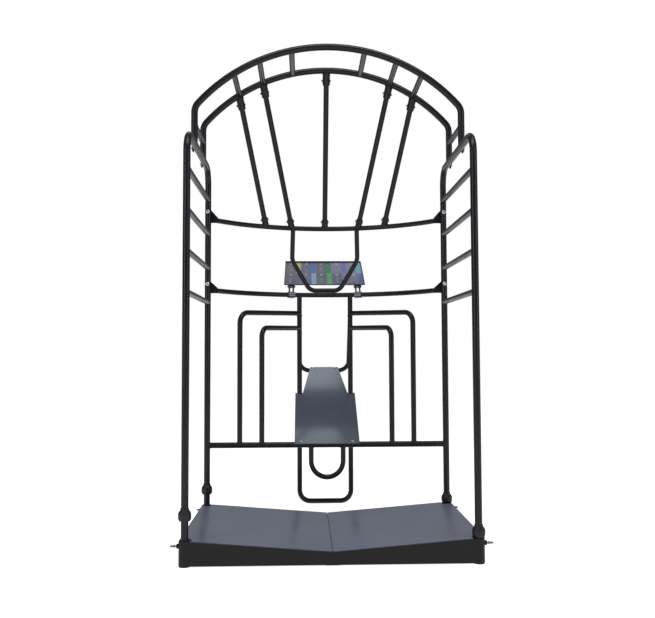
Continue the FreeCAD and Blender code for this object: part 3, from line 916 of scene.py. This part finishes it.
# %% Fan cross bolts
SMALL_ACROSS = 11 * MM
SMALL_HEAD_TALL = 4 * MM
SMALL_WASHER_R = 6.6 * MM
small_head = fastener(SMALL_ACROSS, SMALL_HEAD_TALL, SMALL_WASHER_R, 0)
small_nut = fastener(SMALL_ACROSS, 5 * MM, SMALL_WASHER_R, 2.2 * MM)
small_heads = []
small_nuts = []
for points in loose_pieces("fan_pins"):
    spot = middle_of(points)
    upper, _, along = min(fan_ends, key=lambda ends: (spot - ends[0]).cross(ends[2]).length)
    across = (Vector((1, 0, 0)) - along * along.x).normalized()
    reach = [(p - upper).dot(across) for p in points]
    on_bar = upper + along * (spot - upper).dot(along)
    if max(reach) - min(reach) > LONGEST_NUT:
        small_heads.append(seated(on_bar + across * (max(reach) - SMALL_HEAD_TALL), across))
    else:
        small_nuts.append(seated(on_bar + across * max(reach), -across))
heads = copies_at(small_head, small_heads, "fan_pin_heads")
nuts = copies_at(small_nut, small_nuts, "fan_pin_nuts")
fan_fasteners = clean(joined([heads, nuts], "fan_pins_detailed"))
finished(fan_fasteners, screw_steel, "frame", "bolt_zinc", "fan_pins")
for pattern in (head_pattern, nut_pattern, small_head, small_nut):
    bpy.data.objects.remove(pattern)
print("fan bolts:", len(small_heads), "nuts:", len(small_nuts))

# %% [markdown]
# ## Collars
# A sliding collar is turned from nylon: a narrow foot, a groove above it, a short straight wall, a
# dome that closes on the post and a lip at the top. Half of its section is drawn as a chain of
# points and spun once round the vertical axis, which gives exactly what a lathe gives.

# %% A lathe for closed sections
LATHE_STEPS = 72


def spun(name, section):
    """Turn a closed section of (radius, height) pairs once round the Z axis."""
    data = bpy.data.meshes.new(name)
    edges = [(k, (k + 1) % len(section)) for k in range(len(section))]
    data.from_pydata([(radius, 0, height) for radius, height in section], edges, [])
    piece = placed(name, data)
    only(piece)
    bpy.ops.object.mode_set(mode="EDIT")
    bpy.ops.mesh.select_all(action="SELECT")
    bpy.ops.mesh.spin(steps=LATHE_STEPS, angle=2 * math.pi, center=(0, 0, 0), axis=(0, 0, 1))
    bpy.ops.object.mode_set(mode="OBJECT")
    return clean(piece, 40)


def dome(start, end, bulge, count):
    """Points of an outward curve between two (radius, height) pairs."""
    curve = []
    for k in range(count + 1):
        share = k / count
        radius = start[0] + (end[0] - start[0]) * share ** 1.8 + bulge * math.sin(math.pi * share)
        curve.append((radius, start[1] + (end[1] - start[1]) * share))
    return curve


print("lathe steps:", LATHE_STEPS)

# %% [markdown]
# All four collars are the same part at different heights. One is turned at the origin from the
# size of the frame's collar and copied to each post. It ends 3 mm short of the frame's own collar,
# so that it clears the weld under the lowest rung when it is pushed up.

# %% Collars
COLLAR_BORE_R = 16.4 * MM
WELD_GAP = 3 * MM


def collar_section(wide, tall):
    """Half section of a collar as (radius, height) pairs, from the foot up and back by the bore."""
    foot = [(COLLAR_BORE_R, 0), (22.6 * MM, 0), (23.2 * MM, 0.5 * MM), (25.4 * MM, 3.4 * MM)]
    groove = [(26.9 * MM, 6.6 * MM), (26.3 * MM, 7.2 * MM), (26.5 * MM, 8.4 * MM), (27.5 * MM, 9 * MM)]
    wall = [(wide, 13 * MM), (wide, 24 * MM)]
    crown = dome((wide, 25.5 * MM), (19.2 * MM, tall - 8 * MM), 0.56 * MM, 10)
    lip = [(18.6 * MM, tall - 7 * MM), (18.2 * MM, tall - 1 * MM), (17.6 * MM, tall), (COLLAR_BORE_R, tall)]
    return [(min(radius, wide), height) for radius, height in foot + groove + wall + crown + lip]


low, high, _ = tube_box("collar_front_left")
collar_pattern = spun("collar_pattern", collar_section((high.x - low.x) / 2, high.z - low.z - WELD_GAP))
for corner in CORNERS:
    low, _, spot = tube_box("collar_" + corner)
    place = Matrix.Translation((spot.x, spot.y, low.z))
    collar = copy_at(collar_pattern, place, "collar_turned_" + corner)
    finished(collar, nylon, "collar_" + corner, "collar_plastic", "collar_" + corner)
bpy.data.objects.remove(collar_pattern)

# %% [markdown]
# ## Clamp screws
# Each clamp screw is a threaded rod with a lock nut and a flat wing to turn it by. The thread is
# a real helix: a small triangle stands beside the axis and the Screw modifier winds it along. Its
# open ends are then filled.

# %% Threaded rod
def threaded_rod(core_r, crest_r, length):
    """Threaded rod along +Z from the origin."""
    core = cylinder(28, core_r, length)
    pick_top(core)
    bpy.ops.mesh.bevel(offset=0.7 * MM, segments=1)
    bpy.ops.object.mode_set(mode="OBJECT")
    data = bpy.data.meshes.new("thread")
    half = THREAD_PITCH * 0.42
    inner = core_r - 0.15 * MM
    data.from_pydata([(inner, 0, -half), (crest_r, 0, 0), (inner, 0, half)], [(0, 1), (1, 2), (2, 0)], [])
    thread = placed("thread", data)
    turns = int((length - 2.4 * MM) / THREAD_PITCH)
    apply_modifier(
        thread, "SCREW", axis="Z", screw_offset=THREAD_PITCH, iterations=turns,
        steps=20, render_steps=20, use_merge_vertices=True,
    )
    thread.data.transform(Matrix.Translation((0, 0, THREAD_PITCH * 0.5)))
    bpy.ops.object.mode_set(mode="EDIT")
    bpy.ops.mesh.select_all(action="DESELECT")
    bpy.ops.mesh.select_mode(type="EDGE")
    bpy.ops.mesh.select_non_manifold()
    bpy.ops.mesh.edge_face_add()
    bpy.ops.object.mode_set(mode="OBJECT")
    return joined([core, thread], "rod")


print("thread winds every", round(THREAD_PITCH / MM, 2), "mm")

# %% [markdown]
# The wing is a small plate. It is subdivided, its middle is pinched and its ends are tapered by
# moving its points, and Subdivision Surface then rounds it as a casting is rounded.

# %% Wing
def wing_plate():
    """Flat wing across X, on z = 0 to 11 mm, pinched in the middle."""
    half_span = 13 * MM
    middle = 5.4 * MM
    plate = block((2 * half_span, 3.6 * MM, 10.8 * MM), (0, 0, 5.5 * MM))
    bpy.ops.object.mode_set(mode="EDIT")
    bpy.ops.mesh.select_all(action="SELECT")
    bpy.ops.mesh.subdivide(number_cuts=5)
    bpy.ops.object.mode_set(mode="OBJECT")
    for vertex in plate.data.vertices:
        share = abs(vertex.co.x) / half_span
        tall = 0.62 + 0.38 * share ** 1.5
        if share >= 0.95:
            tall *= 0.8
        vertex.co.z = middle + (vertex.co.z - middle) * tall
        vertex.co.y *= 0.75 + 0.25 * (1 - share)
    apply_modifier(plate, "SUBSURF", levels=1, render_levels=1)
    return plate


print("wing ready")

# %% [markdown]
# The four screws stand out by different lengths, so each is put together to the length of the
# frame's own screw, pointing up, with a copy of the lock nut and of the wing. It is then laid on
# its side with its tip at the post and its wing outwards.

# %% Clamp screws
LOCK_NUT_BACK = 21 * MM
WING_BACK = 11 * MM
lock_nut = hex_piece(13 * MM, 6 * MM)
wing = wing_plate()
quarter_turn = Matrix.Rotation(math.pi / 2, 4, "Z")
for corner in CORNERS:
    low, high, spot = tube_box("clamp_screw_" + corner)
    side = math.copysign(1, spot.x)
    tip = Vector((low.x if side > 0 else high.x, spot.y, spot.z))
    length = high.x - low.x
    rod = threaded_rod(4.3 * MM, 4.95 * MM, length - 3 * MM)
    lock = copy_at(lock_nut, Matrix.Translation((0, 0, length - LOCK_NUT_BACK)), "lock")
    grip = copy_at(wing, Matrix.Translation((0, 0, length - WING_BACK)) @ quarter_turn, "grip")
    screw = joined([rod, lock, grip], "clamp_screw_threaded_" + corner)
    screw.data.transform(Matrix.Translation(tip) @ Matrix.Rotation(side * math.pi / 2, 4, "Y"))
    clean(screw, 40)
    finished(screw, screw_steel, "clamp_screw_" + corner, "screw_steel", "clamp_screw_" + corner)
for pattern in (lock_nut, wing):
    bpy.data.objects.remove(pattern)

# %% [markdown]
# ## Softened edges
# Sheet parts such as the mats, the board and the chart tray come with knife-sharp edges. A copy
# of the node is merged, its flat faces are dissolved into one face each, and a bevel rounds every
# hard edge by about a millimetre. Weighted normals then keep the large faces flat in
# reflections, because the big face decides the normals at its rim.

# %% Mats, board and tray with rounded edges
def softened(node, name, width, segments=3):
    """Copy of a node with rounded hard edges."""
    copy = placed(name, frame["nodes"][node].data.copy())
    only(copy)
    bpy.ops.object.mode_set(mode="EDIT")
    bpy.ops.mesh.select_all(action="SELECT")
    bpy.ops.mesh.remove_doubles(threshold=1e-5)
    bpy.ops.mesh.dissolve_limited(angle_limit=math.radians(1))
    bpy.ops.object.mode_set(mode="OBJECT")
    round_edges(copy, width, segments)
    bpy.ops.object.shade_smooth_by_angle(angle=math.radians(35))
    apply_modifier(copy, "WEIGHTED_NORMAL", keep_sharp=True)
    return copy


for side in ("left", "right"):
    mat = softened("mat_" + side, "mat_rolled_" + side, 1.2 * MM)
    finished(mat, mat_rubber, "frame", "deck_mat", "mat_" + side)
board = softened("board", "board_rounded", 1.0 * MM)
finished(board, laminate, "frame", "board_laminate", "board")
tray = softened("chart_tray", "chart_tray_formed", 0.7 * MM, 2)
finished(tray, tray_black, "chart", "tray_plastic", "chart_tray")

# %% [markdown]
# ## Board screws
# Button heads hold the board. A head is a short cylinder whose top edge is bevelled into a dome,
# with a round recess for the key, made by an inset and a step down. The board's slope follows from
# the bar that carries its upper end and the low rail that carries its lower end.

# %% Board screws
BUTTON_R = 7.5 * MM
BUTTON_TALL = 3.2 * MM


def button_head(radius, height):
    """Domed head with a round recess, on z = 0."""
    piece = cylinder(36, radius, height)
    pick_top(piece)
    bpy.ops.mesh.bevel(offset=height * 0.75, segments=5)
    bpy.ops.mesh.inset(thickness=radius * 0.22)
    bpy.ops.object.mode_set(mode="OBJECT")
    pick_faces(piece, lambda centre, normal: normal.z > 0.99 and centre.xy.length < radius * 0.05)
    bpy.ops.mesh.extrude_region_move(TRANSFORM_OT_translate={"value": (0, 0, -height * 0.5)})
    bpy.ops.object.mode_set(mode="OBJECT")
    return piece


rise = RAMP_BAR.z - rail_mid.z
depth = RAMP_BAR.y - post_y
board_slope = math.atan2(rise, depth) - math.asin(2 * MM / math.hypot(rise, depth))
board_normal = Vector((0, -math.sin(board_slope), math.cos(board_slope)))
button = button_head(BUTTON_R, BUTTON_TALL)
button_places = []
for points in loose_pieces("board_screws"):
    spot = middle_of(points)
    top = max((p - spot).dot(board_normal) for p in points)
    head = middle_of([p for p in points if (p - spot).dot(board_normal) > top - 1 * MM])
    lift = (spot - head).dot(board_normal) + top - BUTTON_TALL
    button_places.append(seated(head + board_normal * lift, board_normal))
buttons = clean(copies_at(button, button_places, "board_screws_domed"))
finished(buttons, zinc, "frame", "bolt_zinc", "board_screws")
bpy.data.objects.remove(button)

# %% [markdown]
# ## The chart
# The chart is a laminated print with two rows of five exercise cells. Each cell has a grey field,
# a band in the colour of its body region, a number and a small stick figure. The print is laid
# out flat at the origin and then moved onto the tray with one matrix, so its sizes stay simple.

# %% Chart inks
INK_COLOURS = {
    "field": (0.17, 0.18, 0.20),
    "field_cool": (0.16, 0.20, 0.30),
    "field_pale": (0.30, 0.31, 0.42),
    "yellow": (0.62, 0.62, 0.10),
    "blue": (0.12, 0.20, 0.62),
    "sky": (0.38, 0.58, 0.88),
    "green": (0.04, 0.30, 0.16),
    "leaf": (0.14, 0.52, 0.18),
    "violet": (0.22, 0.22, 0.60),
    "cyan": (0.22, 0.62, 0.70),
    "white": (0.82, 0.84, 0.86),
}
inks = {}
for name, colour in INK_COLOURS.items():
    deep = [part * 0.62 for part in colour]
    paler = [part * 0.8 + 0.01 for part in colour]
    inks[name] = coated(
        "ink_" + name, deep, paler,
        dust=0.02, gloss=(0.4, 0.5), fine=300, bump=0.05 * MM, clouds=5.0, specular=0.2,
    )
print("inks:", len(inks))

# %% [markdown]
# The frame's plain sheet tells how the tray leans. The foot and the head of its side edge give the
# direction up the slope, and the three axes of the sheet make the matrix that carries the flat
# print onto it.

# %% Place of the print
def place_of_sheet():
    """Matrix that carries the flat print onto the tray, and the print's width and length."""
    points = [v.co.copy() for v in frame["nodes"]["chart_sheet"].data.vertices]
    edge = [p for p in points if p.x > max(q.x for q in points) - 1e-5]
    foot = min(edge, key=lambda p: p.z)
    head = max(edge, key=lambda p: p.y)
    up_slope = (head - foot).normalized()
    across = Vector((1, 0, 0))
    turn = Matrix((across, up_slope, across.cross(up_slope))).transposed().to_4x4()
    start = Vector((-foot.x, foot.y, foot.z))
    return Matrix.Translation(start) @ turn, 2 * foot.x, (head - foot).length


sheet_place, sheet_width, sheet_length = place_of_sheet()
print("print", round(sheet_width, 3), "by", round(sheet_length, 3))

# %% [markdown]
# Everything on the print is a thin card with rounded corners: the sheet, its fields, its bands and
# its lines of writing. A card is a flat box whose four upright edges are bevelled.

# %% Cards
def flat_card(x0, x1, y0, y1, z0, z1, material, corner=1.5 * MM):
    """Thin card with rounded corners."""
    card = block((x1 - x0, y1 - y0, z1 - z0), ((x0 + x1) / 2, (y0 + y1) / 2, (z0 + z1) / 2))
    bpy.ops.object.mode_set(mode="EDIT")
    bpy.ops.mesh.select_mode(type="EDGE")
    bpy.ops.mesh.select_all(action="DESELECT")
    bpy.ops.object.mode_set(mode="OBJECT")
    for edge in card.data.edges:
        a, b = [card.data.vertices[k].co for k in edge.vertices]
        edge.select = abs(a.z - b.z) > (z1 - z0) * 0.5
    bpy.ops.object.mode_set(mode="EDIT")
    bpy.ops.mesh.bevel(offset=corner, segments=3)
    bpy.ops.object.mode_set(mode="OBJECT")
    card.data.materials.append(material)
    return card


print("cards ready")

# %% [markdown]
# A stick figure is enough to say what a cell is for. Each is a round head, a trunk and four limbs,
# bent to one of a few poses. A pose is only the four angles of the arms and legs in degrees.

# %% Stick figures
POSES = (
    (20, 160, -70, -110), (70, 110, -60, -120), (-20, 170, -80, -130), (40, 80, -45, -100),
    (150, 175, -90, -60),
)
STROKE_THICK = 0.12 * MM


def stroke(start, angle, length, wide, z, material):
    """Rounded stroke from a point at an angle, and the point where it ends."""
    card = flat_card(0, length, -wide / 2, wide / 2, 0, STROKE_THICK, material, wide * 0.45)
    turn = Matrix.Rotation(math.radians(angle), 4, "Z")
    card.data.transform(Matrix.Translation((start[0], start[1], z)) @ turn)
    end = Vector((start[0], start[1], 0)) + (turn @ Vector((length, 0, 0)))
    return card, (end.x, end.y)


def figure(x, y, size, z, pose, material):
    """Stick figure in one of the poses."""
    wide = size * 0.13
    trunk, neck = stroke((x, y), 96 - pose[0] * 0.1, size * 0.42, wide * 1.3, z, material)
    made = [trunk]
    for angle, base in zip(pose, (neck, neck, (x, y), (x, y))):
        made.append(stroke(base, angle, size * 0.4, wide, z, material)[0])
    nothing_selected()
    bpy.ops.mesh.primitive_circle_add(
        vertices=16, radius=size * 0.12, fill_type="NGON",
        location=(neck[0], neck[1] + size * 0.14, z + STROKE_THICK),
    )
    head = settle(bpy.context.object)
    head.data.materials.append(material)
    return made + [head]


print("figure poses:", len(POSES))

# %% [markdown]
# The cells are numbered. A number starts as a text object, which is made a mesh before its place is
# applied, because a text object's place can't be applied.

# %% Numbers
def number(value, x, y, size, z, material):
    """Number as a flat mesh."""
    data = bpy.data.curves.new("number", "FONT")
    data.body = str(value)
    data.size = size
    data.align_x = "CENTER"
    label = placed("number", data)
    label.location = (x, y, z)
    only(label)
    bpy.ops.object.convert(target="MESH")
    label = settle(bpy.context.object)
    label.data.materials.append(material)
    return label


print("numbers ready")

# %% [markdown]
# Ten cells in two rows fill the sheet. Each is a field with a band at its right. The field holds
# the number, the figure and three short lines, which lie on it in layers much thinner than the sheet.

# %% Chart print
CELLS = (
    ("field", "yellow"), ("field_cool", "blue"), ("field", "green"), ("field_pale", "violet"),
    ("field_pale", "cyan"), ("field", "field_cool"), ("field_cool", "sky"), ("field", "leaf"),
    ("field_cool", "field_pale"), ("field_pale", "violet"),
)
COLUMNS = 5
FIELD_SHARE = 0.68
GAP = 2.0 * MM
SHEET_THICK = 1.0 * MM
cell_w = (sheet_width - 2 * GAP) / COLUMNS
cell_h = (sheet_length - 2 * GAP) / 2
below = SHEET_THICK - 0.1 * MM
above = SHEET_THICK + 0.15 * MM
z = SHEET_THICK + 0.16 * MM
pale = inks["field_pale"]
cards = [flat_card(0, sheet_width, 0, sheet_length, 0, SHEET_THICK, pale, 2 * MM)]
for k, (field, band) in enumerate(CELLS):
    x0 = GAP + k % COLUMNS * cell_w + GAP / 2
    y0 = GAP + (1 - k // COLUMNS) * cell_h + GAP / 2
    x1 = x0 + cell_w - GAP
    y1 = y0 + cell_h - GAP
    split = x0 + (x1 - x0) * FIELD_SHARE
    middle = (x0 + split) / 2
    cards.append(flat_card(x0, split, y0, y1, below, above, inks[field]))
    cards.append(flat_card(split + 0.4 * MM, x1, y0, y1, below, above, inks[band]))
    cards += figure(middle, y0 + cell_h * 0.34, cell_h * 0.36, z, POSES[k % len(POSES)], pale)
    cards.append(number(k + 1, middle, y1 - 36 * MM, 38 * MM, z + 0.1 * MM, inks["white"]))
    for line in range(3):
        y = y0 + (12 + 9 * line) * MM
        end = split - (8 + 7 * line) * MM
        cards.append(flat_card(x0 + 6 * MM, end, y, y + 2 * MM, z, z + 0.05 * MM, pale, 0.4 * MM))
chart = joined(cards, "chart_print")
chart.data.transform(sheet_place)
only(chart)
bpy.ops.object.shade_smooth_by_angle(angle=math.radians(35))
finished(chart, None, "chart", "chart_print", "chart_sheet")

# %% [markdown]
# ## Platform edge
# Along its front and back the walking surface ends in a rolled nosing, which shows as a thin dark
# line between the slate mat and the black skirt. It is a rounded strip that follows the shallow V
# and stops short of the corner sockets.

# %% Deck nosing
PLATE_THICK = 3 * MM
SEAM_GAP = 1.5 * MM
SOCKET_GAP = 27 * MM
NOSING_INSET = 12 * MM
deck_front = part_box("deck_left")[0].y


def nosing(y, side):
    """Rounded strip along one deck half."""
    low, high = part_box("deck_" + side)
    way = -1 if side == "left" else 1
    slope = (high.z - low.z - PLATE_THICK) / (high.x - low.x)
    seam_z = low.z + PLATE_THICK
    outer = post_x - SOCKET_GAP
    start = Vector((way * SEAM_GAP, y, seam_z + SEAM_GAP * slope))
    end = Vector((way * outer, y, seam_z + outer * slope))
    along = (end - start).normalized()
    depth = Vector((0, 1, 0))
    strip = block((2 * NOSING_INSET, 5.4 * MM, (end - start).length))
    turn = Matrix((depth, along.cross(depth), along)).transposed().to_4x4()
    strip.data.transform(Matrix.Translation((start + end) / 2) @ turn)
    round_edges(strip, 1.6 * MM, 4)
    bpy.ops.object.shade_smooth_by_angle(angle=math.radians(35))
    return strip


for side in ("left", "right"):
    strips = [nosing(y, side) for y in (deck_front + NOSING_INSET, -deck_front - NOSING_INSET)]
    finished(joined(strips, "deck_nosing_" + side), nosing_coat, "frame", "base_paint")
